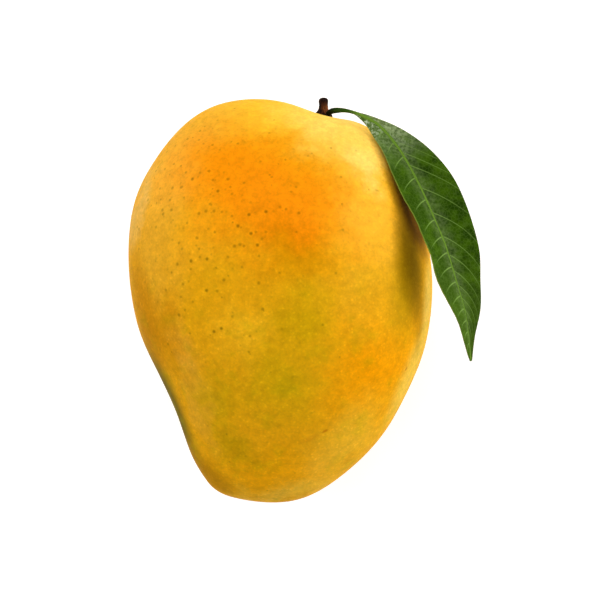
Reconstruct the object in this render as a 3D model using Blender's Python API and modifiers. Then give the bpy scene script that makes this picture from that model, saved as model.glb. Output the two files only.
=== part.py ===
"""One mango as picked: the fruit on its cheek, a stub of its stalk, and a young leaf.

Metres, +Z up. The origin is the centre of the flat spot that the fruit rests on. The stalk
end points to +Y, the beak side to -X and the long rounded back to +X. The fruit is the same
above and below its seam, the level plane through stalk, beak and back.
"""

import math

import bmesh
import bpy
import numpy as np
from mathutils import Vector

MM = 0.001
UP = Vector((0, 0, 1))

# Driving sizes of the fruit.
CHEEK_TO_CHEEK = 70.0 * MM
FLAT_SPOT_DEPTH = 0.55 * MM
SEAM_HEIGHT = CHEEK_TO_CHEEK / 2 - FLAT_SPOT_DEPTH
STALK_END_FULLNESS = 0.03
STALK_END_FALL = 6.0 * MM
# The most that sin(a) * (1 + cos(a))**2 reaches, at 48 degrees down from the stalk.
SHOULDER_PEAK = 2.07
CHEEK_SQUARENESS = 0.035
BEAK_SIDE_THINNING = 0.04

# The fruit's outline in the seam plane, in millimetres, walked twice from the stalk to the
# tip: down the back, and down the beak side. Points of one index face each other.
STALK_POINT = (9.6, 46.3)
TIP_POINT = (-16.2, -57.1)
BACK = (
    (16.6, 45.0),
    (24.2, 41.4),
    (30.9, 32.9),
    (35.8, 21.0),
    (38.7, 8.2),
    (39.2, -4.2),
    (37.0, -17.6),
    (32.1, -29.7),
    (24.5, -42.2),
    (12.8, -53.1),
    (-0.8, -58.8),
)
BEAK_SIDE = (
    (-2.7, 50.1),
    (-17.0, 49.7),
    (-28.1, 43.6),
    (-36.6, 33.2),
    (-42.0, 21.3),
    (-43.3, 5.5),
    (-40.9, -10.5),
    (-36.0, -22.1),
    (-30.3, -34.6),
    (-26.4, -45.5),
    (-22.4, -52.6),
)

# The shallow basin round the stalk.
BASIN_DEPTH = 0.6 * MM
BASIN_RADIUS = 5.0 * MM

FRUIT_MERIDIANS = 76
FRUIT_RINGS = 44
ON_THE_GROUND = 0.001 * MM
WELD_DISTANCE = 0.01 * MM
SHARP_FROM = math.radians(40)

# The stalk stub, along its own line from its root in the fruit to its broken end.
JOINT_GAP = 0.4 * MM
STALK_LEAN = Vector((0.02, 1.0, 0.10)).normalized()
STALK_PROFILE = (
    (-2.7, 1.90),
    (-1.3, 1.95),
    (0.0, 2.45),
    (0.5, 2.50),
    (1.0, 2.00),
    (1.7, 1.50),
    (2.5, 1.27),
    (3.3, 1.20),
    (4.1, 1.24),
    (4.7, 1.22),
    (5.1, 0.95),
    (5.3, 0.50),
)
STALK_SIDES_RESOLUTION = 4

# The leaf's spine, from the stalk along the petiole and the midrib to the tip: the place of
# each station and the radius of the petiole or rib there, all in millimetres.
SPINE = (
    (11.0, 46.5, 36.9, 0.72),
    (11.9, 47.0, 38.7, 0.78),
    (13.3, 47.1, 40.5, 0.75),
    (15.1, 47.0, 41.9, 0.58),
    (17.6, 46.4, 42.9, 0.47),
    (20.5, 45.2, 43.6, 0.54),
    (24.1, 43.0, 44.3, 0.60),
    (27.7, 39.1, 45.2, 0.62),
    (30.9, 34.4, 46.4, 0.62),
    (33.9, 28.8, 47.9, 0.60),
    (36.6, 23.0, 49.5, 0.58),
    (39.1, 17.0, 50.9, 0.56),
    (41.5, 11.1, 51.8, 0.55),
    (43.4, 5.1, 52.1, 0.53),
    (45.2, -0.9, 51.8, 0.50),
    (47.0, -7.0, 50.8, 0.47),
    (48.0, -13.0, 49.2, 0.44),
    (48.9, -20.2, 46.9, 0.50),
)

# The blade's two margins, from its base at the fifth station to its tip, in millimetres:
# how far the left one lies from the rib, seen from above, how far it rises over the rib,
# and the same for the right one.
BLADE_START = 4
MARGINS = (
    (0.3, 0.2, 0.3, 0.1),
    (1.1, 0.4, 0.6, 0.3),
    (2.6, 1.2, 1.5, 0.6),
    (3.6, 3.4, 3.7, 1.0),
    (4.4, 4.7, 6.1, 1.1),
    (5.0, 5.6, 8.1, 0.8),
    (4.7, 6.4, 9.1, 0.3),
    (4.4, 7.5, 9.1, -0.2),
    (4.4, 8.1, 8.7, -0.5),
    (4.6, 7.9, 8.0, -0.6),
    (4.1, 6.4, 6.5, -0.4),
    (2.7, 4.4, 4.2, -0.2),
    (1.5, 2.6, 1.7, 0.0),
    (0.3, 0.2, 0.3, 0.0),
)
BLADE_THICKNESS = 0.8 * MM
BLADE_FULLNESS = 0.25
EDGE_WAVE = 0.45 * MM
EDGE_WAVES = 7.5
LEFT_WAVE_START = 2.6
RIGHT_WAVE_START = 0.9
# How far to either side, in stations of the spine, its direction is read.
DIRECTION_STEP = 0.05
BLADE_STATIONS = 64
BLADE_COLUMNS = 12
RIB_STATIONS = 72
RIB_SIDES_RESOLUTION = 2

# Each finish: its linear colour and its roughness.
SKIN_FINISH = ((0.78, 0.36, 0.03), 0.42)
STALK_FINISH = ((0.06, 0.025, 0.01), 0.75)
LEAF_FINISH = ((0.03, 0.085, 0.01), 0.35)


def clear_scene():
    """Empties the scene of whatever it opened with."""
    for obj in list(bpy.data.objects):
        bpy.data.objects.remove(obj)


def make_collection(name):
    collection = bpy.data.collections.new(name)
    bpy.context.scene.collection.children.link(collection)
    return collection


def make_material(name, colour, roughness):
    """A plain Principled material."""
    material = bpy.data.materials.new(name)
    material.use_nodes = True
    shader = material.node_tree.nodes["Principled BSDF"]
    shader.inputs["Base Color"].default_value = (*colour, 1.0)
    shader.inputs["Roughness"].default_value = roughness
    shader.inputs["Metallic"].default_value = 0.0
    return material


def make_object(name, mesh, collection, material=None):
    obj = bpy.data.objects.new(name, mesh)
    collection.objects.link(obj)
    if material:
        mesh.materials.append(material)
        mesh.shade_smooth()
        mesh.set_sharp_from_angle(angle=SHARP_FROM)
    return obj


def spline(points, closed):
    """The smooth cubic through evenly spaced points, as a function of the point's index."""
    points = np.array(points, float)
    count = len(points)
    matrix = np.eye(count) * 4
    sides = np.zeros_like(points)
    for i in range(count):
        if not closed and i in (0, count - 1):
            continue
        before, after = (i - 1) % count, (i + 1) % count
        matrix[i, before] = matrix[i, after] = 1
        sides[i] = 6 * (points[before] - 2 * points[i] + points[after])
    bends = np.linalg.solve(matrix, sides)

    def value(place):
        i = int(math.floor(place))
        if not closed:
            i = min(max(i, 0), count - 2)
        near, far = i % count, (i + 1) % count
        u = place - i
        v = 1 - u
        straight = v * points[near] + u * points[far]
        return straight + ((v**3 - v) * bends[near] + (u**3 - u) * bends[far]) / 6

    return value


def outline_curve():
    """The closed outline, as a function of a turn from 0 to 1: stalk, back, tip, beak side."""
    points = [STALK_POINT, *BACK, TIP_POINT, *reversed(BEAK_SIDE)]
    along = spline(points, closed=True)
    return lambda turn: along(turn * len(points)) * MM


def fruit_point(outline, down, round_angle):
    """A point of the skin, from how far down it is (0 stalk to pi tip) and the angle round."""
    turn = down / (2 * math.pi)
    back, beak_side = outline(turn), outline(1 - turn)
    middle = (back + beak_side) / 2
    half_width = (back - beak_side) / 2
    half_thickness = CHEEK_TO_CHEEK / 2 * math.sin(down) * (1 + STALK_END_FULLNESS * math.cos(down))
    across, up = math.cos(round_angle), -math.sin(round_angle)
    swell = 1 + CHEEK_SQUARENESS * (1 - math.cos(4 * round_angle)) / 2
    half_thickness *= 1 + BEAK_SIDE_THINNING * across
    place = middle + half_width * across * swell
    height = half_thickness * up * swell
    # The cheeks fall away from the stalk end, most where shoulder is 1.
    shoulder = math.sin(down) * (1 + math.cos(down)) ** 2 / SHOULDER_PEAK
    place[1] -= STALK_END_FALL * (shoulder * up) ** 2
    from_stalk = math.hypot(*(place - outline(0.0)), height)
    place[1] -= BASIN_DEPTH * math.exp(-((from_stalk / BASIN_RADIUS) ** 2))
    return Vector((place[0], place[1], SEAM_HEIGHT + height))


def make_fruit(collection, clearance, material):
    """The fruit: a sphere drawn out to the mango's form, flat where it rests, with a socket."""
    outline = outline_curve()
    shape = bmesh.new()
    bmesh.ops.create_uvsphere(
        shape, u_segments=FRUIT_MERIDIANS, v_segments=FRUIT_RINGS, radius=1.0
    )
    for vertex in shape.verts:
        down = math.acos(max(-1.0, min(1.0, vertex.co.z)))
        round_angle = math.atan2(vertex.co.y, vertex.co.x)
        vertex.co = fruit_point(outline, down, round_angle)
    everything = shape.verts[:] + shape.edges[:] + shape.faces[:]
    cut = bmesh.ops.bisect_plane(
        shape, geom=everything, plane_co=(0, 0, 0), plane_no=(0, 0, -1), clear_outer=True
    )
    rim = [e for e in cut["geom_cut"] if isinstance(e, bmesh.types.BMEdge)]
    bmesh.ops.contextual_create(shape, geom=rim)
    bmesh.ops.recalc_face_normals(shape, faces=shape.faces)
    mesh = bpy.data.meshes.new("fruit")
    shape.to_mesh(mesh)
    shape.free()
    fruit = make_object("fruit", mesh, collection, material)
    for edge in mesh.edges:
        edge.use_edge_sharp = all(abs(mesh.vertices[v].co.z) < ON_THE_GROUND for v in edge.vertices)
    add_boolean(fruit, clearance, "DIFFERENCE")
    return fruit


def stalk_foot():
    """Where the stalk's foot meets the floor of the basin."""
    return Vector((STALK_POINT[0] * MM, STALK_POINT[1] * MM - BASIN_DEPTH, SEAM_HEIGHT))


def hide(obj):
    """Marks a helper, which is no part of the mango."""
    obj.hide_render = True
    obj.display_type = "WIRE"
    return obj


def add_boolean(obj, other, operation, solver="EXACT"):
    modifier = obj.modifiers.new(operation.lower() + "_" + other.name, "BOOLEAN")
    modifier.operation = operation
    modifier.object = other
    modifier.solver = solver


def make_tube(name, centres, radii, sides_resolution, collection, material=None):
    """A closed round tube along centres, as a mesh object."""
    curve = bpy.data.curves.new(name + "_line", "CURVE")
    curve.dimensions = "3D"
    curve.bevel_depth = 1.0
    curve.bevel_resolution = sides_resolution
    curve.use_fill_caps = True
    line = curve.splines.new("POLY")
    line.points.add(len(centres) - 1)
    for point, centre, radius in zip(line.points, centres, radii):
        point.co = (*centre, 1.0)
        point.radius = radius
    guide = bpy.data.objects.new(name + "_line", curve)
    collection.objects.link(guide)
    graph = bpy.context.evaluated_depsgraph_get()
    mesh = bpy.data.meshes.new_from_object(guide.evaluated_get(graph))
    mesh.name = name
    bpy.data.objects.remove(guide)
    welded = bmesh.new()
    welded.from_mesh(mesh)
    bmesh.ops.remove_doubles(welded, verts=welded.verts, dist=WELD_DISTANCE)
    bmesh.ops.recalc_face_normals(welded, faces=welded.faces)
    welded.to_mesh(mesh)
    welded.free()
    return make_object(name, mesh, collection, material)


def stalk_tube(name, growth, collection, material=None):
    """The stalk stub, or with growth a copy that is that much wider all round."""
    foot = stalk_foot()
    centres = [foot + STALK_LEAN * height * MM for height, _ in STALK_PROFILE]
    radii = [radius * MM + growth for _, radius in STALK_PROFILE]
    centres[0] -= STALK_LEAN * growth
    centres[-1] += STALK_LEAN * growth
    return make_tube(name, centres, radii, STALK_SIDES_RESOLUTION, collection, material)


def steps(count):
    """Evenly spaced values from 0 to 1."""
    return [i / (count - 1) for i in range(count)]


def spine_reader():
    """The leaf's spine as a function of its point's index: centre and radius, in metres."""
    along = spline(SPINE, closed=False)

    def read(place):
        x, y, z, radius = along(place) * MM
        return Vector((x, y, z)), radius

    return read


def blade_point(spine, margins, share, across):
    """A point of the blade's middle surface; across runs from -1, left edge, to 1, right."""
    place = BLADE_START + share * (len(MARGINS) - 1)
    centre, _ = spine(place)
    ahead = spine(place + DIRECTION_STEP)[0] - spine(place - DIRECTION_STEP)[0]
    to_right = UP.cross(ahead).normalized()
    left_reach, left_rise, right_reach, right_rise = margins(place - BLADE_START) * MM
    if across < 0:
        outwards, reach, rise, wave_start = -to_right, left_reach, left_rise, LEFT_WAVE_START
    else:
        outwards, reach, rise, wave_start = to_right, right_reach, right_rise, RIGHT_WAVE_START
    part = abs(across)
    climb = part * (1 + BLADE_FULLNESS * (1 - part))
    wave = EDGE_WAVE * part**2 * math.sqrt(math.sin(math.pi * share))
    wave *= math.sin(2 * math.pi * EDGE_WAVES * share + wave_start)
    square_to_blade = (UP * reach - outwards * rise).normalized()
    return centre + outwards * reach * part + UP * rise * climb + square_to_blade * wave


def make_blade(collection, material):
    """The blade: a folded, waved sheet along the spine, split alike on both faces."""
    spine = spine_reader()
    margins = spline(MARGINS, closed=False)
    shape = bmesh.new()
    bmesh.ops.create_grid(
        shape, x_segments=BLADE_COLUMNS, y_segments=BLADE_STATIONS, size=1.0
    )
    for vertex in shape.verts:
        share, across = (1 + vertex.co.y) / 2, vertex.co.x
        vertex.co = blade_point(spine, margins, share, across)
    bmesh.ops.triangulate(shape, faces=shape.faces)
    bmesh.ops.recalc_face_normals(shape, faces=shape.faces)
    mesh = bpy.data.meshes.new("leaf")
    shape.to_mesh(mesh)
    shape.free()
    blade = make_object("leaf", mesh, collection, material)
    thickness = blade.modifiers.new("thickness", "SOLIDIFY")
    thickness.thickness = BLADE_THICKNESS
    thickness.offset = 0.0
    return blade


def make_leaf(collection, cutters, clearance, material):
    """The leaf: its blade joined to the petiole and midrib, hollowed to clasp the stalk."""
    spine = spine_reader()
    last = len(SPINE) - 1
    stations = [spine(share * last) for share in steps(RIB_STATIONS)]
    rib = make_tube(
        "petiole_and_rib",
        [centre for centre, _ in stations],
        [radius for _, radius in stations],
        RIB_SIDES_RESOLUTION,
        cutters,
    )
    leaf = make_blade(collection, material)
    # The rib crosses the blade's folded faces all along, where the exact solver loses the blade.
    add_boolean(leaf, hide(rib), "UNION", solver="MANIFOLD")
    add_boolean(leaf, clearance, "DIFFERENCE", solver="MANIFOLD")
    return leaf


def main():
    clear_scene()
    mango = make_collection("mango")
    cutters = make_collection("cutters")
    skin = make_material("skin", *SKIN_FINISH)
    bark = make_material("stalk_bark", *STALK_FINISH)
    green = make_material("leaf_green", *LEAF_FINISH)
    clearance = hide(stalk_tube("stalk_clearance", JOINT_GAP, cutters))
    make_fruit(mango, clearance, skin)
    stalk_tube("stalk", 0.0, mango, bark)
    make_leaf(mango, cutters, clearance, green)


main()
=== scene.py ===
"""Looks of one picked mango: its skin and lenticels, its stalk stub and its young leaf.

The classes count in millimetres and hand metres to Blender. The frame is the part's own: +Z up
from the flat spot that the fruit rests on, +Y towards the stalk end, -X towards the beak side.
The seam is the level plane through stalk, beak and back; the camera looks straight down on it.
"""

from __future__ import annotations

import cmath
import logging
import math
from dataclasses import dataclass
from enum import Enum

import bpy
import numpy as np
from bpy.types import Material, Mesh, Node, NodeSocket, NodeTree, Object
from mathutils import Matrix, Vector, noise
from mathutils.bvhtree import BVHTree

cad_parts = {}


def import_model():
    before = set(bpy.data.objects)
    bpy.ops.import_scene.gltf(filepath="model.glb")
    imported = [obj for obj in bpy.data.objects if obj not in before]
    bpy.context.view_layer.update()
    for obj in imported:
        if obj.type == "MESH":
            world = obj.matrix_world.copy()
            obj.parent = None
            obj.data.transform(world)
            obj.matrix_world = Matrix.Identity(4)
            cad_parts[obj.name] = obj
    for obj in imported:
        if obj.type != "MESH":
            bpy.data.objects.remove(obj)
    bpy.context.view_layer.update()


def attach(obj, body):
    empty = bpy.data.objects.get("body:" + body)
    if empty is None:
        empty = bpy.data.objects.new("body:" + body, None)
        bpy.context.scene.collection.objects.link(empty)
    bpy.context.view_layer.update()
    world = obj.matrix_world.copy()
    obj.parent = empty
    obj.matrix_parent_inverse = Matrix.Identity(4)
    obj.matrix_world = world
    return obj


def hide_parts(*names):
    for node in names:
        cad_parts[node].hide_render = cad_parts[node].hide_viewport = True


MM = 0.001
BODY = "root"
# The photograph is this many pixels square, and one pixel is this long in the seam's plane.
PHOTO_SIDE = 600
PIXEL = 0.27127
# The photograph's pixel that shows the frame's origin.
ORIGIN_PIXEL = (287.8, 285.4)
# The camera hangs this far above the seam's plane, in millimetres.
CAMERA_DISTANCE = 800.0

# Places of the sockets of a Mix node that mixes colours.
FACTOR, FIRST, SECOND, MIXED = 0, 6, 7, 2
# Places of the sockets of a Map Range node, and the setting that makes its step smooth.
VALUE, START, END, LOW, HIGH = 0, 1, 2, 3, 4
SMOOTH = {"interpolation_type": "SMOOTHSTEP"}
WHITE = (1.0, 1.0, 1.0, 1.0)

log = logging.getLogger("mango")


class Cheek(Enum):
    """The cheek that faces the camera, or the one that the fruit lies on."""

    UPPER = 1.0
    LOWER = -1.0


class Half(Enum):
    """The leaf's half on either side of its midrib, seen from above with the base at the top."""

    LEFT = -1.0
    RIGHT = 1.0


def linear(hex_colour: str) -> tuple[float, float, float, float]:
    """Turns an sRGB colour into Blender's linear one.

    Args:
        hex_colour: A hash and six hex digits.

    Returns:
        Red, green, blue and an alpha of 1.
    """
    parts = (int(hex_colour[i : i + 2], 16) / 255 for i in (1, 3, 5))
    return (*(p / 12.92 if p <= 0.04045 else ((p + 0.055) / 1.055) ** 2.4 for p in parts), 1.0)


def from_pixel(column: float, row: float) -> tuple[float, float]:
    """Where a pixel of the photograph lies in the seam's plane.

    Args:
        column: Pixels from the photograph's left side.
        row: Pixels from its top.

    Returns:
        X and Y in the part's frame, in millimetres.
    """
    return ((column - ORIGIN_PIXEL[0]) * PIXEL, (ORIGIN_PIXEL[1] - row) * PIXEL)


def fill(tree: NodeTree, node: Node, inputs: dict[str | int, object]) -> None:
    """Sets a node's inputs.

    Args:
        tree: The node's tree.
        node: The node.
        inputs: By socket name or place, a constant, or another node's output to link.
    """
    for key, value in inputs.items():
        if isinstance(value, NodeSocket):
            tree.links.new(value, node.inputs[key])
        else:
            node.inputs[key].default_value = value


def add_node(
    tree: NodeTree,
    kind: str,
    inputs: dict[str | int, object] | None = None,
    output: str | int = 0,
    **settings: object,
) -> NodeSocket:
    """Adds a shader node with its settings, its constant inputs and its links.

    Args:
        tree: The node tree that gets the node.
        kind: The node's class name without the leading ShaderNode.
        inputs: By socket name or place, a constant, or another node's output to link.
        output: Which of its outputs is wanted.
        settings: The node's own properties.

    Returns:
        The wanted output.
    """
    node = tree.nodes.new("ShaderNode" + kind)
    for name, value in settings.items():
        setattr(node, name, value)
    fill(tree, node, inputs or {})
    return node.outputs[output]


def link_to_scene(item: Object) -> Object:
    """Puts an object in the scene and hands it back."""
    bpy.context.scene.collection.objects.link(item)
    return item


@dataclass(frozen=True)
class Grain:
    """Mottling around 0.5 whose grains are about so many millimetres wide."""

    size: float
    detail: float = 2.0


@dataclass(frozen=True)
class Step:
    """A step between two values, as what it reads passes from start to end.

    It reads a value stored on the mesh, by its name, or a grain, or another node's output.
    """

    reads: str | Grain | NodeSocket
    start: float
    end: float
    low: float = 0.0
    high: float = 1.0
    smooth: bool = True


@dataclass(frozen=True)
class Layer:
    """A colour, or a shade, that covers those before it by a share from 0 to 1."""

    share: float | NodeSocket
    tint: str | tuple[float, float, float, float] | NodeSocket
    blend: str = "MIX"


class Recipe:
    """A material in the making: its node tree, its shader and the point being shaded."""

    def __init__(self, name: str) -> None:
        """Starts a material with its Principled shader.

        Args:
            name: The material's name.
        """
        self.material = bpy.data.materials.new(name)
        self.material.use_nodes = True
        self.tree = self.material.node_tree
        self.shader = self.tree.nodes["Principled BSDF"]
        point = add_node(self.tree, "TexCoord", output="Object")
        # The place is in millimetres, in the part's frame.
        to_size = {0: point, "Scale": 1 / MM}
        self.place = add_node(self.tree, "VectorMath", to_size, operation="SCALE")

    def measure(self, source: str | Grain | NodeSocket) -> NodeSocket:
        """The output that gives a number for each point of the surface.

        Args:
            source: The name of a value stored on the mesh, a grain, or a node's output.

        Returns:
            The output.
        """
        if isinstance(source, str):
            return add_node(self.tree, "Attribute", output="Fac", attribute_name=source)
        if isinstance(source, Grain):
            settings = {"Vector": self.place, "Scale": 1 / source.size}
            settings |= {"Detail": source.detail, "Roughness": 0.55}
            return add_node(self.tree, "TexNoise", settings, "Fac")
        return source

    def product(self, *steps: Step) -> NodeSocket:
        """Multiplies the values of some steps.

        Args:
            steps: One step or more.

        Returns:
            The product.
        """
        total = None
        for step in steps:
            limits = {VALUE: self.measure(step.reads), START: step.start, END: step.end}
            limits |= {LOW: step.low, HIGH: step.high}
            value = add_node(self.tree, "MapRange", limits, **(SMOOTH if step.smooth else {}))
            if total is not None:
                value = add_node(self.tree, "Math", {0: total, 1: value}, operation="MULTIPLY")
            total = value
        return total

    def painted(self, ground: str, *layers: Layer) -> NodeSocket:
        """Lays colours over one another.

        Args:
            ground: The lowest colour.
            layers: What lies on it, in order.

        Returns:
            The colour that shows.
        """
        colour = linear(ground)
        for layer in layers:
            tint = linear(layer.tint) if isinstance(layer.tint, str) else layer.tint
            mixed = {FACTOR: layer.share, FIRST: colour, SECOND: tint}
            settings = {"data_type": "RGBA", "blend_type": layer.blend}
            colour = add_node(self.tree, "Mix", mixed, MIXED, **settings)
        return colour

    def finish(
        self, colour: NodeSocket, relief: NodeSocket, depth: float, inputs: dict[str, object]
    ) -> Material:
        """Gives the shader its colour, its fine relief and its other inputs.

        Args:
            colour: The surface's colour.
            relief: The height of its relief, from 0 to 1.
            depth: The relief's depth from low to high, in millimetres.
            inputs: The shader's other inputs, by name.

        Returns:
            The material.
        """
        bump = {"Height": relief, "Distance": depth * MM}
        normal = add_node(self.tree, "Bump", bump, "Normal")
        fill(self.tree, self.shader, {"Base Color": colour, "Normal": normal, **inputs})
        return self.material


@dataclass(frozen=True)
class ColourPatch:
    """One soft-edged region of the skin, placed by where the photograph shows it.

    Its reach is its half width and half length in millimetres, and its core is the share of
    the reach inside which the colour is at full strength.
    """

    name: str
    colour: str
    column: float
    row: float
    reach: tuple[float, float]
    turn: float = 0.0
    strength: float = 1.0
    core: float = 0.0
    cheek: Cheek = Cheek.UPPER
    wanders: bool = True


@dataclass(frozen=True)
class MangoSkin:
    """Ripe mango skin, wiped clean after picking.

    It is a thin waxy film over coloured flesh: light sinks in a little, so the colour stays deep
    and the gloss is broad and weak. Its pale edges are painted reflection, and among its colour
    regions are painted shade, a painted leaf shadow and a painted sheen.
    """

    ground: str = "#e0a010"
    roughness: float = 0.48
    ior: float = 1.45
    gloss: float = 0.005
    gloss_tint: str = "#ffd878"
    glow_weight: float = 0.08
    glow_reach: float = 1.5
    # How far red, green and blue light sink in, as shares of the glow's reach.
    glow_depths: tuple[float, float, float] = (1.0, 0.4, 0.05)
    blotch: float = 11.0
    blotch_shift: float = 9.0
    # A region fades out at this many times its reach.
    patch_end: float = 1.3
    clouds: Grain = Grain(7.5, 5.0)
    cloud_green: str = "#a59a08"
    mottle: Grain = Grain(2.2, 4.0)
    mottle_spread: float = 0.11
    grain: Grain = Grain(0.7, 1.0)
    grain_spread: float = 0.07
    pore_spacing: float = 0.95
    pore_brightening: tuple[float, float, float, float] = (1.17, 1.22, 1.7, 1.0)
    orange_peel: Grain = Grain(1.1)
    peel_depth: float = 0.03
    lenticel: str = "#4c4002"
    scar: str = "#b25c02"

    def patches(self) -> tuple[ColourPatch, ...]:
        """The regions of colour, some of them painted shade, shadow, sheen and reflection.

        Returns:
            The regions, the broadest first, each laid over those before it.
        """
        return (
            ColourPatch("pale crown", "#ffbc2c", 285, 110, (38, 13), -8, 1.0, 0.1),
            # Partly the skin's pale yellow and partly painted sheen near the stalk.
            ColourPatch("pale skin and painted sheen by the stalk", "#ffce5c", 345, 128, (19, 14), -35, 1.0, 0.15),
            ColourPatch("back shoulder", "#f4b02e", 366, 215, (12, 32), 8, 1.0, 0.2),
            # A painted sheen on the stalk-end shoulder, where the lamps would give a broad highlight.
            ColourPatch("painted shoulder sheen", "#ffe07a", 368, 164, (6, 9), 18, 0.5, 0.1),
            ColourPatch("beak shoulder", "#eca834", 172, 165, (17, 26), -35, 0.9, 0.1),
            ColourPatch("beak gold", "#eca41a", 193, 238, (11, 12), 0, 0.75, 0.1),
            ColourPatch("upper blush", "#f49008", 236, 173, (24, 17), -20, 1.0, 0.15),
            ColourPatch("deep blush", "#f08b0a", 285, 209, (22, 18), -25, 1.0, 0.15),
            ColourPatch("lower blush", "#da7e02", 288, 242, (14, 8), -30, 0.8, 0.0),
            ColourPatch("amber centre", "#cc9004", 300, 264, (14, 8), 0, 0.65, 0.0),
            ColourPatch("back cheek", "#daa016", 352, 285, (13, 18), 0, 0.7, 0.0),
            ColourPatch("beak flank", "#dfa228", 150, 265, (11, 22), 0, 0.8, 0.0),
            ColourPatch("low beak flank", "#cc880a", 162, 335, (9, 16), 20, 0.9, 0.0),
            ColourPatch("amber middle", "#f0b41c", 246, 335, (9, 9), 0, 0.8, 0.0),
            ColourPatch("orange heel", "#e89604", 376, 366, (15, 20), -12, 1.0, 0.1),
            # Partly the skin's amber and partly painted shade, widening the painted leaf shadow on its
            # inner side.
            ColourPatch("amber back and painted shade", "#d69c14", 382, 296, (8, 18), 0, 0.75, 0.1),
            ColourPatch("pale low flank", "#e4a434", 194, 368, (5, 14), 20, 0.5, 0.0),
            ColourPatch("middle olive", "#c09a06", 302, 320, (11, 11), 10, 0.75, 0.0),
            ColourPatch("lower olive", "#cea40a", 280, 385, (14, 13), 0, 0.75, 0.0),
            ColourPatch("beak olive", "#c49e08", 214, 402, (9, 12), 10, 0.65, 0.0),
            ColourPatch("lower back", "#e6b22c", 346, 445, (9, 17), -28, 0.7, 0.0),
            ColourPatch("pale heel", "#f0b834", 316, 474, (11, 7), 25, 0.6, 0.0),
            ColourPatch("tip green", "#aa8e08", 237, 453, (8, 6), -20, 0.8, 0.0),
            ColourPatch("tip amber", "#f4a80a", 268, 474, (20, 9), 0, 0.75, 0.0),
            # Painted reflection: the pale band along the lower edge.
            ColourPatch("painted reflection along the tip edge", "#ecb834", 285, 495, (20, 4), 8, 0.8, 0.1),
            # Partly skin colour and partly painted shade along the dark lower edge on the beak side.
            ColourPatch("brown flank and painted edge shade", "#c28006", 145, 318, (4.5, 20), 13, 0.8, 0.3, wanders=False),
            ColourPatch("tan flank", "#dca02e", 199, 412, (2.6, 13), 22, 0.45, 0.1),
            # This region and the next are partly skin colour and partly painted shade along the dark
            # lower edge on the beak side.
            ColourPatch("green flank and painted edge shade", "#746002", 173, 403, (3.1, 20), 22, 1.0, 0.3, wanders=False),
            ColourPatch("brown heel and painted edge shade", "#ae7802", 210, 476, (5, 10), 42, 0.8, 0.2, wanders=False),
            # Painted reflection: pale bands along the beak-side, back and heel edges, where a white
            # surround would show.
            ColourPatch("painted reflection along the beak edge", "#e4b456", 138, 205, (4, 15), -14, 0.7, 0.1),
            ColourPatch("painted reflection along the back edge", "#e0bc50", 428, 300, (2.0, 13), -4, 0.7, 0.2, wanders=False),
            ColourPatch("painted reflection along the heel edge", "#e2bc46", 410, 374, (2.8, 18), -22, 0.7, 0.2, wanders=False),
            # Painted shadow of the leaf on the back flank, laid over the real shadow that the low side
            # lamp casts there.
            ColourPatch("olive edge of the painted leaf shadow", "#a88204", 405, 286, (5.4, 18), -2, 0.8, 0.05, wanders=False),
            ColourPatch("painted leaf shadow", "#8a6604", 410, 252, (4.9, 18), 2, 0.85, 0.1, wanders=False),
            ColourPatch("painted leaf shadow by the margin", "#623c00", 413, 217, (3.8, 15), 26, 0.95, 0.35, wanders=False),
            ColourPatch("far blush", "#ee9a14", 290, 190, (34, 26), 20, 0.9, 0.0, Cheek.LOWER),
            ColourPatch("far olive", "#a88e08", 270, 380, (26, 20), 0, 0.7, 0.0, Cheek.LOWER),
            ColourPatch("far crown", "#ffc640", 340, 140, (20, 16), 0, 0.9, 0.0, Cheek.LOWER),
        )

    def bend(self, recipe: Recipe) -> NodeSocket:
        """Shifts the place by soft noise, so that no region has a round edge.

        Args:
            recipe: The skin in the making.

        Returns:
            The shifted place.
        """
        tree, place = recipe.tree, recipe.place
        settings = {"Vector": place, "Scale": 1 / self.blotch, "Detail": 4.0, "Roughness": 0.6}
        soft = add_node(tree, "TexNoise", settings, "Color")
        centred = add_node(tree, "VectorMath", {0: soft, 1: (0.5,) * 3}, operation="SUBTRACT")
        to_size = {0: centred, "Scale": 2 * self.blotch_shift}
        shift = add_node(tree, "VectorMath", to_size, operation="SCALE")
        return add_node(tree, "VectorMath", {0: place, 1: shift}, operation="ADD")

    def regions(self, recipe: Recipe, fruit: Fruit) -> list[Layer]:
        """The regions of colour, each of which falls from its core to its end.

        Args:
            recipe: The skin in the making.
            fruit: The fruit, which says where each region lies.

        Returns:
            A layer for each region.
        """
        bent = self.bend(recipe)
        layers = []
        for patch in self.patches():
            centre, _ = fruit.seen_at(patch.column, patch.row, patch.cheek)
            width, length = patch.reach
            settings = {
                "Vector": bent if patch.wanders else recipe.place,
                "Location": centre / MM,
                "Rotation": (0.0, 0.0, math.radians(patch.turn)),
                "Scale": (width, length, (width + length) / 2),
            }
            local = add_node(recipe.tree, "Mapping", settings, vector_type="TEXTURE")
            away = add_node(recipe.tree, "VectorMath", {0: local}, "Value", operation="LENGTH")
            fade = Step(away, patch.core, self.patch_end, patch.strength, 0.0)
            layers.append(Layer(recipe.product(fade), patch.colour))
        return layers

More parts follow.
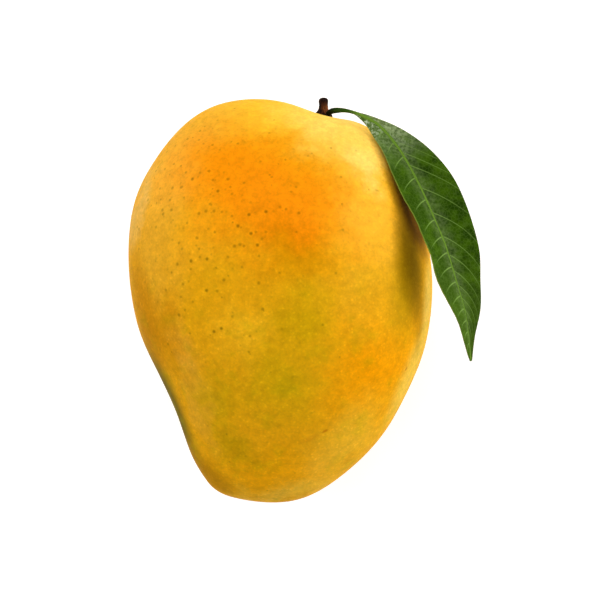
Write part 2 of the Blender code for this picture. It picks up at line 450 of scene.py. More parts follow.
    def texture(self, recipe: Recipe) -> list[Layer]:
        """Faint green clouds towards the tip, mottle, grain, and pale pores.

        Args:
            recipe: The skin in the making.

        Returns:
            Their layers. The pores are strong or hardly there, and faint on the stalk's half.
        """
        tree, place = recipe.tree, recipe.place
        along = add_node(tree, "SeparateXYZ", {0: place}, "Y")
        cloudy = recipe.product(Step(self.clouds, 0.5, 0.72), Step(along, 12.0, -16.0, 0.0, 0.3))
        layers = [Layer(cloudy, self.cloud_green)]
        for grain, spread in ((self.mottle, self.mottle_spread), (self.grain, self.grain_spread)):
            shade = recipe.product(Step(grain, 0.3, 0.7, 1 - spread, 1 + spread, smooth=False))
            layers.append(Layer(1.0, shade, "MULTIPLY"))
        cells = {"Vector": place, "Scale": 1 / self.pore_spacing, "Randomness": 1.0}
        away = add_node(tree, "TexVoronoi", cells, "Distance")
        cell_colour = add_node(tree, "TexVoronoi", cells, "Color")
        chance = add_node(tree, "SeparateColor", {0: cell_colour}, 0)
        pores = recipe.product(
            Step(away, 0.48, 0.1), Step(chance, 0.2, 0.95), Step(along, 25.0, -10.0, 0.3, 1.0)
        )
        return [*layers, Layer(pores, self.pore_brightening, "MULTIPLY")]

    def material(self, fruit: Fruit) -> Material:
        """The skin's material, which the lenticels share.

        Args:
            fruit: The fruit that wears it.

        Returns:
            The material.
        """
        recipe = Recipe("ripe_skin")
        mark = recipe.painted(self.lenticel, Layer(recipe.measure("brown"), self.scar))
        marks = Layer(recipe.measure("spot"), mark)
        layers = [*self.regions(recipe, fruit), *self.texture(recipe), marks]
        inputs = {
            "Roughness": self.roughness,
            "IOR": self.ior,
            "Specular IOR Level": self.gloss,
            "Specular Tint": linear(self.gloss_tint),
            "Subsurface Weight": self.glow_weight,
            "Subsurface Radius": self.glow_depths,
            "Subsurface Scale": self.glow_reach * MM,
        }
        colour = recipe.painted(self.ground, *layers)
        return recipe.finish(colour, recipe.measure(self.orange_peel), self.peel_depth, inputs)


@dataclass(frozen=True)
class StalkBark:
    """Dried bark of a woody fruit stalk.

    It is furrowed along its length and dead matte, nearly black in the furrows, with reddish
    worn fibres in a streak that lies only on the side facing the lamps, so the streak is partly
    a painted highlight.
    """

    dark: str = "#0c0302"
    mid: str = "#260f07"
    streak: str = "#84481c"
    roughness: float = 0.72
    gloss: float = 0.06
    fibres: Grain = Grain(0.42, 4.0)
    fibre_stretch: float = 0.22
    furrow_depth: float = 0.12

    def material(self) -> Material:
        """The stalk's material.

        Returns:
            The material, whose fibres run along the stalk.
        """
        recipe = Recipe("dry_bark")
        stretch = {"Vector": recipe.place, "Scale": (1.0, self.fibre_stretch, 1.0)}
        recipe.place = add_node(recipe.tree, "Mapping", stretch)
        fibres = recipe.measure(self.fibres)
        ridge = Step(fibres, 0.35, 0.65)
        # Worn fibres on the lit side: partly a painted highlight.
        rub_and_highlight = Step("rub_and_highlight", 0.0, 1.0, smooth=False)
        colour = recipe.painted(
            self.dark,
            Layer(recipe.product(ridge), self.mid),
            Layer(recipe.product(rub_and_highlight, ridge), self.streak),
        )
        inputs = {"Roughness": self.roughness, "Specular IOR Level": self.gloss}
        return recipe.finish(colour, fibres, self.furrow_depth, inputs)


@dataclass(frozen=True)
class LeafCuticle:
    """A full-grown young mango leaf.

    It is leathery under a clear wax, so the upper face is dark and glossy, the veins show as
    thin pale lines, and the lower face is paler and matte.
    """

    green: str = "#395707"
    deep: str = "#1f3802"
    tip: str = "#67852a"
    vein: str = "#7a9a48"
    # The pale line along the left margin, a painted reflection.
    margin: str = "#8a9a3a"
    under: str = "#5a7a2a"
    petiole_dark: str = "#0b1104"
    petiole: str = "#2e4a12"
    rib: str = "#66882c"
    # Colours of the wax's painted sheen and of its painted white glints.
    bloom_and_sheen: str = "#8ea366"
    glint: str = "#c4d0b0"
    roughness: float = 0.42
    under_roughness: float = 0.6
    ior: float = 1.45
    gloss: float = 0.012
    gloss_tint: str = "#c8e890"
    wax_roughness: float = 0.3
    vein_width: float = 0.32
    vein_strength: float = 0.8
    net_spacing: float = 0.9
    patches: Grain = Grain(4.0, 3.0)
    flecks: Grain = Grain(0.45, 3.0)
    fibres: Grain = Grain(0.5)
    wax_fleck: float = 0.8
    relief_depth: float = 0.03

    def veins(self, recipe: Recipe) -> NodeSocket:
        """Where a side vein shows.

        Args:
            recipe: The blade in the making.

        Returns:
            How much of the vein shows, from 0 to 1.
        """
        # The phase is whole on each vein, so this is how far off the nearest vein is.
        off = {0: recipe.measure("vein_phase"), 1: 0.5}
        nearest = add_node(recipe.tree, "Math", off, operation="PINGPONG")
        apart = {0: nearest, 1: recipe.measure("vein_spacing")}
        apart = add_node(recipe.tree, "Math", apart, operation="MULTIPLY")
        line = Step(apart, self.vein_width * 0.15, self.vein_width * 0.8, self.vein_strength, 0.0)
        return recipe.product(line, Step("vein_shown", 0.0, 1.0, smooth=False))

    def blade_wax_sheen_and_glints(self, recipe: Recipe) -> tuple[NodeSocket, NodeSocket, NodeSocket]:
        """Where the blade's wax shows, with its painted sheen and glints.

        Args:
            recipe: The blade in the making.

        Returns:
            Wax thick enough to shine, in flecks near the base, whose grey is a painted sheen; a
            thin grey-green film along both sides of the midrib, partly painted sheen; and painted
            white glints beside it at the blade's base.
        """
        across = recipe.measure("across")
        beside = add_node(recipe.tree, "Math", {0: across}, operation="ABSOLUTE")
        thick = recipe.product(
            Step("share", 0.04, 0.12),
            Step("share", 0.18, 0.36, 1.0, 0.0),
            Step(across, -0.2, 0.2, 0.65, 1.25),
            Step(Grain(self.wax_fleck, 4.0), 0.35, 0.65, 0.2, 0.7),
        )
        rib_bloom_and_sheen = recipe.product(
            Step(beside, 0.05, 0.48, 1.0, 0.0),
            Step("share", 0.12, 0.3),
            Step(Grain(self.wax_fleck, 3.0), 0.3, 0.7, 0.06, 0.28),
        )
        glints = recipe.product(
            Step("share", 0.12, 0.22, 1.0, 0.0),
            Step(across, 0.0, -0.15),
            Step(Grain(self.wax_fleck, 2.0), 0.5, 0.66, 0.0, 0.75),
        )
        return thick, rib_bloom_and_sheen, glints

    def material(self) -> Material:
        """The blade's material.

        Returns:
            The material, which reads the blade's own leaf coordinates.
        """
        recipe = Recipe("waxed_leaf")
        patchy = recipe.product(Step(self.patches, 0.35, 0.65))
        # Painted light: the raised left half, which faces the lamps, gets a lighter green.
        raised = recipe.product(Step("across", 0.1, -0.1, 0.0, 0.4))
        lighter = add_node(recipe.tree, "Math", {0: patchy, 1: raised}, operation="MAXIMUM")
        cells = {"Vector": recipe.place, "Scale": 1 / self.net_spacing}
        edge = add_node(recipe.tree, "TexVoronoi", cells, "Distance", feature="DISTANCE_TO_EDGE")
        wax, rib_bloom_and_sheen, glints = self.blade_wax_sheen_and_glints(recipe)
        upper = recipe.measure("upper")
        upper_face = recipe.painted(
            self.deep,
            Layer(lighter, self.green),
            Layer(recipe.product(Step("share", 0.6, 0.95, 0.0, 0.2)), self.tip),
            Layer(recipe.product(Step(edge, 0.0, 0.14, 0.12, 0.0)), self.vein),
            # Painted sheen and painted glints, laid as colour over the wax and along the midrib; the wax
            # share also drives the real coat.
            Layer(wax, self.bloom_and_sheen),
            Layer(rib_bloom_and_sheen, self.bloom_and_sheen),
            Layer(glints, self.glint),
            Layer(self.veins(recipe), self.vein),
            # A pale line on the left margin only: painted reflection.
            Layer(recipe.product(Step("across", -0.95, -1.0, 0.0, 0.7)), self.margin),
        )
        matte = Step(upper, 0.0, 1.0, self.under_roughness, self.roughness, smooth=False)
        inputs = {
            "Roughness": recipe.product(matte),
            "IOR": self.ior,
            "Specular IOR Level": self.gloss,
            "Specular Tint": linear(self.gloss_tint),
            "Coat Weight": wax,
            "Coat Roughness": self.wax_roughness,
            "Coat IOR": self.ior,
        }
        colour = recipe.painted(self.under, Layer(upper, upper_face))
        return recipe.finish(colour, recipe.measure(self.flecks), self.relief_depth, inputs)

    def rib_material(self) -> Material:
        """The petiole's and midrib's material.

        Returns:
            The material, dark by the stalk and pale along the blade.
        """
        recipe = Recipe("leaf_rib")
        fibres = recipe.measure(self.fibres)
        colour = recipe.painted(
            self.petiole_dark,
            Layer(recipe.product(Step("along", 1.5, 7.5)), self.petiole),
            Layer(recipe.product(Step("along", 7.5, 12.0)), self.rib),
            Layer(1.0, recipe.product(Step(fibres, 0.3, 0.7, 0.88, 1.08, False)), "MULTIPLY"),
        )
        inputs = {"Roughness": self.roughness, "Specular IOR Level": self.gloss}
        return recipe.finish(colour, fibres, self.relief_depth, inputs)


class Curve:
    """The smooth cubic through evenly numbered points."""

    def __init__(self, points: list[tuple[float, ...]], closed: bool = False) -> None:
        """Works out the curve's bends.

        Args:
            points: The points, each with the same number of values.
            closed: Whether the last point joins the first.
        """
        self.points = np.array(points, float)
        self.closed = closed
        count = len(self.points)
        matrix = np.eye(count) * 4
        sides = np.zeros_like(self.points)
        for i in range(count):
            if not closed and i in (0, count - 1):
                continue
            before, after = (i - 1) % count, (i + 1) % count
            matrix[i, before] = matrix[i, after] = 1
            sides[i] = 6 * (self.points[before] - 2 * self.points[i] + self.points[after])
        self.bends = np.linalg.solve(matrix, sides)

    def at(self, places: np.ndarray) -> np.ndarray:
        """The curve at these places, counted in points.

        Args:
            places: Places of any shape.

        Returns:
            Points, with one more axis than places.
        """
        count = len(self.points)
        before = np.floor(places).astype(int)
        if not self.closed:
            before = np.clip(before, 0, count - 2)
        near, far = before % count, (before + 1) % count
        u = (places - before)[..., None]
        v = 1 - u
        straight = v * self.points[near] + u * self.points[far]
        return straight + ((v**3 - v) * self.bends[near] + (u**3 - u) * self.bends[far]) / 6


def unit(vectors: np.ndarray) -> np.ndarray:
    """The same directions, each one long."""
    return vectors / np.maximum(np.linalg.norm(vectors, axis=-1, keepdims=True), 1e-9)


def normals_of(grid: np.ndarray, closed: bool) -> np.ndarray:
    """Unit normals of a grid of points, by its rows and columns.

    Args:
        grid: Rows by columns by three.
        closed: Whether the last column joins the first.

    Returns:
        An array of the same shape.
    """
    down = np.gradient(grid, axis=0)
    if closed:
        along = np.roll(grid, -1, axis=1) - np.roll(grid, 1, axis=1)
    else:
        along = np.gradient(grid, axis=1)
    return unit(np.cross(down, along))


def relief_noise(points: np.ndarray, size: float, seed: float) -> np.ndarray:
    """Smooth noise from about -1 to 1 at each point, with bumps about size millimetres wide."""
    flat = points.reshape(-1, 3) / size + seed
    return np.array([noise.noise(Vector(p)) for p in flat]).reshape(points.shape[:-1])


def mesh_from_rings(name: str, rings: np.ndarray) -> Mesh:
    """A closed mesh through rings of points, each end drawn together to one point.

    Args:
        name: The mesh's name.
        rings: Rings by points by three, in millimetres.

    Returns:
        The mesh, in metres and facing outwards, its vertices ring by ring and then the two
        end points.
    """
    count, around = rings.shape[:2]
    ends = [rings[0].mean(axis=0), rings[-1].mean(axis=0)]
    points = np.concatenate([rings.reshape(-1, 3), ends]) * MM
    first, last = count * around, count * around + 1
    tail = (count - 1) * around
    faces = []
    for i in range(around):
        j = (i + 1) % around
        faces += [(first, i, j), (last, tail + j, tail + i)]
        for here in range(0, tail, around):
            there = here + around
            faces.append((here + i, there + i, there + j, here + j))
    mesh = bpy.data.meshes.new(name)
    mesh.from_pydata(points.tolist(), [], faces)
    mesh.validate()
    mesh.calc_loop_triangles()
    corners = points[np.array([t.vertices for t in mesh.loop_triangles])]
    volume = np.einsum("ij,ij->i", corners[:, 0], np.cross(corners[:, 1], corners[:, 2])).sum()
    if volume < 0:
        mesh.flip_normals()
    return mesh


def set_values(mesh: Mesh, name: str, values: np.ndarray) -> None:
    """Stores one number for each vertex under a name that a material can read."""
    attribute = mesh.attributes.new(name, "FLOAT", "POINT")
    attribute.data.foreach_set("value", np.asarray(values, np.float32).ravel())


def place_piece(
    name: str,
    mesh: Mesh,
    material: Material,
    node: str | None = None,
) -> None:
    """Puts a finished piece in the scene, on its body and in its material slot.

    Args:
        name: The piece's name.
        mesh: Its mesh, in the part's frame.
        material: Its finish.
        node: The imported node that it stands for, if any.
    """
    mesh.materials.append(material)
    mesh.shade_smooth()
    piece = link_to_scene(bpy.data.objects.new(name, mesh))
    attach(piece, BODY)
    if node:
        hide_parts(node)
    log.info("%s: %d vertices, %d faces", name, len(mesh.vertices), len(mesh.polygons))


@dataclass
class Fruit:
    """The fruit, from the same driving sizes as its solid, with finer skin."""

    cheek_to_cheek: float = 70.0
    flat_spot_depth: float = 0.55
    stalk_end_fullness: float = 0.03
    stalk_end_fall: float = 6.0
    cheek_squareness: float = 0.035
    beak_side_thinning: float = 0.04
    basin_depth: float = 0.6
    basin_radius: float = 5.0
    stalk_point: tuple[float, float] = (9.6, 46.3)
    tip_point: tuple[float, float] = (-16.2, -57.1)
    rings: int = 250
    meridians: int = 384
    dent_depth: float = 0.22
    dent_size: float = 17.0
    ripple_depth: float = 0.035
    ripple_size: float = 4.5
    # Above this height the dents have their full depth.
    smooth_foot: float = 3.0

    def __post_init__(self) -> None:
        """Draws the outline, and the surface that everything else sits on."""
        back = [
            (16.6, 45.0), (24.2, 41.4), (30.9, 32.9), (35.8, 21.0), (38.7, 8.2), (39.2, -4.2),
            (37.0, -17.6), (32.1, -29.7), (24.5, -42.2), (12.8, -53.1), (-0.8, -58.8),
        ]
        beak_side = [
            (-2.7, 50.1), (-17.0, 49.7), (-28.1, 43.6), (-36.6, 33.2), (-42.0, 21.3),
            (-43.3, 5.5), (-40.9, -10.5), (-36.0, -22.1), (-30.3, -34.6), (-26.4, -45.5),
            (-22.4, -52.6),
        ]
        points = [self.stalk_point, *back, self.tip_point, *reversed(beak_side)]
        self.outline_points = len(points)
        self.outline = Curve(points, closed=True)
        self.seam_height = self.cheek_to_cheek / 2 - self.flat_spot_depth
        self.mesh = self.make_mesh()
        self.tree = BVHTree.FromPolygons(
            [v.co for v in self.mesh.vertices], [tuple(p.vertices) for p in self.mesh.polygons]
        )

    def surface(self, down: np.ndarray, turn: np.ndarray) -> np.ndarray:
        """Points of the skin.

        Args:
            down: The angle from the stalk, 0, to the tip, pi.
            turn: The angle round the fruit, 0 at the back.

        Returns:
            Points in millimetres.
        """
        share = down / (2 * math.pi) * self.outline_points
        back, beak_side = self.outline.at(share), self.outline.at(self.outline_points - share)
        middle, half_width = (back + beak_side) / 2, (back - beak_side) / 2
        across, up = np.cos(turn), -np.sin(turn)
        swell = 1 + self.cheek_squareness * (1 - np.cos(4 * turn)) / 2
        thickness = self.cheek_to_cheek / 2 * np.sin(down)
        thickness = thickness * (1 + self.stalk_end_fullness * np.cos(down))
        thickness = thickness * (1 + self.beak_side_thinning * across)
        place = middle + half_width * (across * swell)[..., None]
        height = thickness * up * swell
        # The divisor makes it 1 at its highest.
        shoulder = np.sin(down) * (1 + np.cos(down)) ** 2 / 2.07
        x, y = place[..., 0], place[..., 1] - self.stalk_end_fall * (shoulder * up) ** 2
        foot_x, foot_y = self.stalk_point
        from_stalk = np.sqrt((x - foot_x) ** 2 + (y - foot_y) ** 2 + height**2)
        y = y - self.basin_depth * np.exp(-((from_stalk / self.basin_radius) ** 2))
        return np.stack([x, y, self.seam_height + height], axis=-1)

    def make_mesh(self) -> Mesh:
        """Builds the skin.

        Returns:
            Its mesh, with the gentle dents of a real fruit, and flat where it rests.
        """
        down = np.linspace(0, math.pi, self.rings + 2)[1:-1]
        turn = np.linspace(0, 2 * math.pi, self.meridians, endpoint=False)
        down, turn = np.meshgrid(down, turn, indexing="ij")
        grid = self.surface(down, turn)
        inwards = normals_of(grid, closed=True)
        centre = np.array([0.0, 0.0, self.seam_height])
        inwards *= np.sign(((centre - grid) * inwards).sum(axis=2, keepdims=True))
        dents = 0.5 + 0.5 * relief_noise(grid, self.dent_size, 3.1)
        ripples = 0.5 + 0.5 * relief_noise(grid, self.ripple_size, 7.7)
        depth = self.dent_depth * dents + self.ripple_depth * ripples
        depth *= np.clip(grid[..., 2] / self.smooth_foot, 0, 1)
        depth *= np.clip(np.sin(down) / 0.1, 0, 1)
        grid = grid + inwards * depth[..., None]
        grid[..., 2] = np.maximum(grid[..., 2], 0.0)
        return mesh_from_rings("fruit_skin", grid)

    def seen_at(self, column: float, row: float, cheek: Cheek) -> tuple[Vector, Vector]:
        """The point of the skin behind a pixel of the photograph.

        Args:
            column: Pixels from the photograph's left side.
            row: Pixels from its top.
            cheek: The upper cheek, or the lower one as it would look from as far below.

        Returns:
            The point and the skin's normal there, in metres. Off the fruit, they are those
            of the nearest skin.
        """
        x, y = from_pixel(column, row)
        target = Vector((x, y, self.seam_height)) * MM
        eye_x, eye_y = from_pixel(PHOTO_SIDE / 2, PHOTO_SIDE / 2)
        eye = Vector((eye_x, eye_y, self.seam_height + CAMERA_DISTANCE * cheek.value)) * MM
        point, normal, _, _ = self.tree.ray_cast(eye, (target - eye).normalized())
        if point is None:
            point, normal, _, _ = self.tree.find_nearest(target)
        return point, normal

    def dress(self, material: Material) -> None:
        """Puts the skin in the scene."""
        place_piece("fruit_skin", self.mesh, material, "fruit")


@dataclass(frozen=True)
class Spot:
    """One mark on the skin: a corky lenticel, or a scar where it is long and brown.

    The radius is in millimetres, and the length is how many times its width a scar is long.
    """

    radius: float
    darkness: float
    length: float = 1.0
    turn: float = 0.0
    brown: float = 0.0


class DotSize(Enum):
    """How much a lenticel shows."""

    BOLD = Spot(0.72, 0.66)
    PLAIN = Spot(0.70, 0.48)
    FAINT = Spot(0.60, 0.40)


@dataclass
class Lenticels:
    """The dark corky dots on the skin, each a low dome whose colour fades into the skin."""

    fruit: Fruit
    scattered: int = 620
    sides: int = 12
    dome_height: float = 0.03
    seed: int = 11
    # The scattered dots crowd round this pixel of the photograph. Far from it only this share
    # of them is kept, and none lower than this.
    crowd: tuple[float, float] = (200, 225)
    crowd_reach: float = 24.0
    stray_share: float = 0.12
    lowest: float = 1.5
    # From the middle of a dot to its rim: the share of its radius, height and darkness.
    rings: tuple[tuple[float, float, float], ...] = (
        (0.0, 1.0, 1.0), (0.3, 0.9, 0.9), (0.55, 0.5, 0.5), (0.78, 0.15, 0.16), (1.0, -0.3, 0.0),
    )

    def dots(self) -> dict[DotSize, tuple[tuple[float, float], ...]]:
        """The dots that stand out.

        Returns:
            For each size of dot, where they are in the photograph's pixels.
        """
        return {
            DotSize.BOLD: (
                (192.5, 179), (218, 191), (249, 214.6), (266, 211.6), (238, 226), (251, 233.5),
                (257.5, 245), (191, 261), (207, 259), (206.6, 290.4), (221.5, 328.5),
                (214, 331.5),
            ),
            DotSize.PLAIN: (
                (209, 171), (228, 179), (172.5, 188), (162.5, 210), (163, 214), (171.5, 210),
                (199, 213.5), (206, 211), (214, 211), (197, 238), (177.5, 264), (224, 280),
                (259, 283), (217, 291), (179, 315), (262.5, 309), (299, 213), (234.5, 246),
                (240, 244.5),
            ),
            DotSize.FAINT: (
                (200, 131), (187.5, 139), (199, 140), (212.5, 145), (238, 143.5), (174, 164),
                (181, 166), (156, 171), (165, 169), (186, 172.5), (213, 180), (244, 183),
                (272, 177), (182, 187), (232, 194), (148, 200), (170, 200), (210, 204),
                (222, 212), (280, 207), (286, 209), (232, 216), (256, 232), (266, 232),
                (139, 229), (156, 227), (187, 223), (215, 232), (262, 239), (244, 246),
                (139, 249), (179, 243), (182, 249), (200, 257), (228, 257), (259, 256),
                (191, 269), (216, 268), (242, 267), (183, 284), (166, 290), (181, 297),
                (145, 282), (185, 310), (250, 336), (249, 352), (168, 344), (296, 187),
                (342, 204), (343, 230), (331, 148), (341, 177), (336, 273),
            ),
        }

    def scars(self) -> tuple[tuple[float, float, Spot], ...]:
        """The rubs and scratches.

        Returns:
            Where each is in the photograph's pixels, and its form.
        """
        return (
            (325, 431, Spot(0.62, 0.7, 2.2, 33, 1.0)),
            (309, 439, Spot(1.3, 0.22, 3.4, 28, 1.0)),
            (278, 425, Spot(1.5, 0.16, 1.3, 20, 0.0)),
            (238, 452, Spot(2.2, 0.14, 1.5, -15, 0.0)),
            (216, 396, Spot(1.7, 0.14, 1.3, 30, 0.0)),
            (254, 462, Spot(1.2, 0.14, 1.2, 0, 0.0)),
            (406, 369, Spot(0.55, 0.6, 1.9, 70, 0.8)),
            (377, 190.5, Spot(0.5, 0.4, 2.0, -12, 0.0)),
            (256, 210, Spot(1.9, 0.22, 1.2, 0, 0.8)),
            (263, 309.5, Spot(0.4, 0.5, 2.2, -60, 0.2)),
        )

    def marks(self) -> list[tuple[Vector, Vector, Spot]]:
        """Every mark.

        The scattered ones are crowded on the shoulder at the beak side and few elsewhere.

        Returns:
            For each mark its place and the skin's normal there, in metres, and its form.
        """
        found = []
        for size, places in self.dots().items():
            found += [(*self.fruit.seen_at(*place, Cheek.UPPER), size.value) for place in places]
        for column, row, spot in self.scars():
            found.append((*self.fruit.seen_at(column, row, Cheek.UPPER), spot))
        draw = np.random.default_rng(self.seed)
        crowd = Vector((*from_pixel(*self.crowd), 0.0)) * MM
        notable = len(found)
        while len(found) < notable + self.scattered:
            down = math.acos(draw.uniform(-1, 1))
            turn, keep, size, shade = draw.uniform(size=4) * (2 * math.pi, 1, 1, 1)
            rough = Vector(self.fruit.surface(np.array(down), np.array(turn))) * MM
            point, normal, _, _ = self.fruit.tree.find_nearest(rough)
            away = (point - crowd).xy.length / MM
            near_crowd = math.exp(-((away / self.crowd_reach) ** 2))
            chance = self.stray_share + (1 - self.stray_share) * near_crowd
            if keep > chance or point.z < self.lowest * MM:
                continue
            found.append((point, normal, Spot(0.35 + 0.25 * size, 0.12 + 0.32 * shade**2)))
        return found

    def dress(self, material: Material) -> None:
        """Builds every dot and scar as one piece and puts it in the scene.

        Args:
            material: The skin's finish.
        """
        points, faces, shades, browns = [], [], [], []
        for centre, normal, spot in self.marks():
            start = len(points)
            for point, shade in self.dome(centre, normal, spot):
                points.append(point)
                shades.append(shade * spot.darkness)
                browns.append(spot.brown)
            for i in range(self.sides):
                j = (i + 1) % self.sides
                faces.append((start, start + 1 + i, start + 1 + j))
                for ring in range(len(self.rings) - 2):
                    inner = start + 1 + ring * self.sides
                    outer = inner + self.sides
                    faces.append((inner + i, outer + i, outer + j, inner + j))
        mesh = bpy.data.meshes.new("lenticels")
        mesh.from_pydata(points, [], faces)
        set_values(mesh, "spot", np.array(shades))
        set_values(mesh, "brown", np.array(browns))
        place_piece("lenticels", mesh, material)

    def dome(self, centre: Vector, normal: Vector, spot: Spot) -> list[tuple[Vector, float]]:
        """The points of one low dome that lies on the skin, ring by ring.

        Args:
            centre: Its middle on the skin, in metres.
            normal: The skin's normal there.
            spot: Its size and form.

        Returns:
            Each point in metres, with its share of the darkness.
        """
        sideways = Vector((0, 1, 0)).cross(normal).normalized()
        upwards = normal.cross(sideways)
        points = []
        for share, height, shade in self.rings:
            for i in range(self.sides if share else 1):
                angle = 2 * math.pi * i / self.sides
                reach = complex(math.cos(angle) * spot.length, math.sin(angle))
                reach *= cmath.rect(share * spot.radius, math.radians(spot.turn))
                rough = centre + (sideways * reach.real + upwards * reach.imag) * MM
                nearest, out, _, _ = self.fruit.tree.find_nearest(rough)
                points.append((nearest + out * self.dome_height * height * MM, shade))
        return points


@dataclass
class Stalk:
    """The stalk stub: a woody shaft on a flared foot that sits in the basin."""

    fruit: Fruit
    lean: tuple[float, float, float] = (0.02, 1.0, 0.10)
    rings: int = 90
    sides: int = 64
    furrow_depth: float = 0.10
    broad_furrows: int = 9
    narrow_furrows: int = 14
    knot_depth: float = 0.14
    knot_size: float = 1.1
    foot_spread: float = 0.22
    foot_height: float = 2.2
    rub_and_highlight_height: float = 2.3
    rub_and_highlight_reach: float = 1.1

    def dress(self, material: Material) -> None:
        """Builds the furrowed stub and puts it in the scene.

        Args:
            material: The bark.
        """
        profile = Curve([
            (-2.2, 1.5), (-1.2, 1.9), (-0.3, 2.35), (0.2, 2.50), (0.7, 2.25), (1.2, 1.80),
            (1.9, 1.44), (2.7, 1.26), (3.4, 1.22), (4.0, 1.26), (4.5, 1.24), (4.85, 1.08),
            (5.1, 0.78), (5.24, 0.38),
        ])
        last = len(profile.points) - 1
        height, radius = profile.at(np.linspace(0, last, self.rings)).T
        foot_x, foot_y = self.fruit.stalk_point
        foot = np.array([foot_x, foot_y - self.fruit.basin_depth, self.fruit.seam_height])
        axis = np.array(Vector(self.lean).normalized())
        side = unit(np.cross(axis, (0.0, 0.0, 1.0)))
        front = np.cross(side, axis)
        angle = np.linspace(0, 2 * math.pi, self.sides, endpoint=False)
        spoke = np.cos(angle)[:, None] * side + np.sin(angle)[:, None] * front
        # The foot spreads to the beak side, away from the leaf.
        low = np.clip(1 - height / self.foot_height, 0, 1)[:, None]
        spread = 1 + self.foot_spread * low * np.clip(-spoke[:, 0], 0, 1)
        furrows = np.sin(self.broad_furrows * angle + 0.7) * 0.6
        furrows += np.sin(self.narrow_furrows * angle + 2.0) * 0.4
        reach = radius[:, None] * spread * (1 + self.furrow_depth * 0.35 * furrows)
        rings = foot + height[:, None, None] * axis + reach[..., None] * spoke
        rings += (self.knot_depth * relief_noise(rings, self.knot_size, 5.2))[..., None] * spoke
        mesh = mesh_from_rings("stalk_stub", rings)
        # The worn reddish streak goes only on the side towards the lamps, so it is partly a painted
        # highlight.
        lit = np.clip(spoke[:, 0] * 0.8 + spoke[:, 2] * 0.5 + 0.1, 0, 1)
        where = np.exp(-(((height - self.rub_and_highlight_height) / self.rub_and_highlight_reach) ** 2))
        values = np.append((where[:, None] * lit).ravel(), (0.0, 0.0))
        set_values(mesh, "rub_and_highlight", values)
        place_piece("stalk_stub", mesh, material, "stalk")


